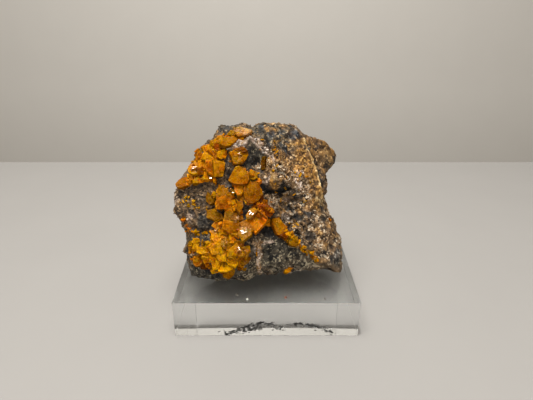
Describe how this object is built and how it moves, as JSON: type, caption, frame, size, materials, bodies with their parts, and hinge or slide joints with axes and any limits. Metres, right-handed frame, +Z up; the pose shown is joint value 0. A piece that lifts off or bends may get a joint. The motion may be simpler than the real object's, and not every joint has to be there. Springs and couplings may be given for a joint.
{
  "type": "mineral specimen on a display block",
  "caption": "Rough lump of brown and grey matrix rock, its front grown over with orange tabular wulfenite crystals, standing on a square clear display block.",
  "frame": {"origin": "centre of the display block's underside, on the surface that it stands on", "axes": "+Z up; +Y to the back of the specimen, so that the crystals face -Y; +X to the right seen from the front"},
  "size_m": [0.0514, 0.05, 0.0534],
  "materials": {
    "acrylic": "clear cast acrylic, polished faces",
    "stone": "rough iron-stained gossan rock: brown, dark grey and pinkish white",
    "wulfenite": "orange translucent wulfenite, resinous to adamantine lustre"
  },
  "bodies": {
    "root": {"acrylic_block": "acrylic", "matrix_rock": "stone", "wulfenite_upper_left": "wulfenite", "wulfenite_top_blades": "wulfenite", "wulfenite_left_edge": "wulfenite", "wulfenite_upper_middle": "wulfenite", "wulfenite_middle": "wulfenite", "wulfenite_left_pocket": "wulfenite", "wulfenite_low_pocket": "wulfenite", "wulfenite_rib": "wulfenite", "wulfenite_chip": "wulfenite", "wulfenite_left_chip": "wulfenite"}
  },
  "joints": []
}
